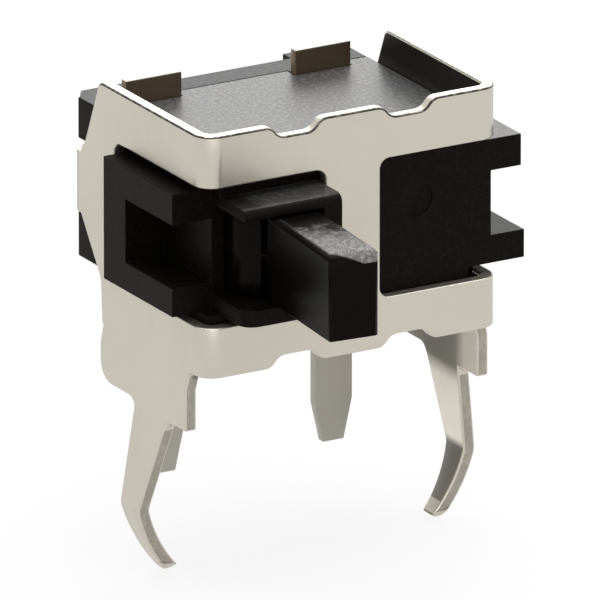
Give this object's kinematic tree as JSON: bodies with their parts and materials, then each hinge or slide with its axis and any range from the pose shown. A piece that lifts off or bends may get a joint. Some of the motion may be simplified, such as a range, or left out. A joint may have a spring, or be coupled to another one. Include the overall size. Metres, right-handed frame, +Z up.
{
  "type": "lever-operated micro switch",
  "caption": "Micro switch with a swinging finger lever in a folded sheet-metal frame with snap-in legs and flat solder pins.",
  "frame": {"origin": "middle of the front wall's outer face, in the plane of the circuit board that the frame's stubs stand on", "axes": "+X to the right along the front wall, +Y from the front wall to the rear, +Z up from the circuit board; the lever points along -Y at rest"},
  "size_m": [0.0093, 0.0108, 0.0113],
  "materials": {
    "sheet_metal": "plated sheet, satin",
    "moulding": "spark-eroded, matt",
    "lever_plastic": "smooth, semi-gloss",
    "contact_metal": "bright",
    "spring_wire": "bright wire",
    "terminal_metal": "tin plated over brass"
  },
  "bodies": {
    "body": {"frame": "sheet_metal", "housing": "moulding", "base": "moulding", "terminal_left": "terminal_metal", "terminal_right": "terminal_metal"},
    "lever": {"lever": "lever_plastic", "moving_contact": "contact_metal", "return_spring": "spring_wire"}
  },
  "joints": [
    {"name": "lever_swing", "type": "hinge", "parent": "body", "child": "lever", "pos_m": [-0.0018, 0.00066, 0.00438], "axis": [0, 0, -1], "range_deg": [0, 46], "stiffness_Nm_per_rad": 0.001, "springref_deg": -34.38, "deforming": ["return_spring"]}
  ]
}
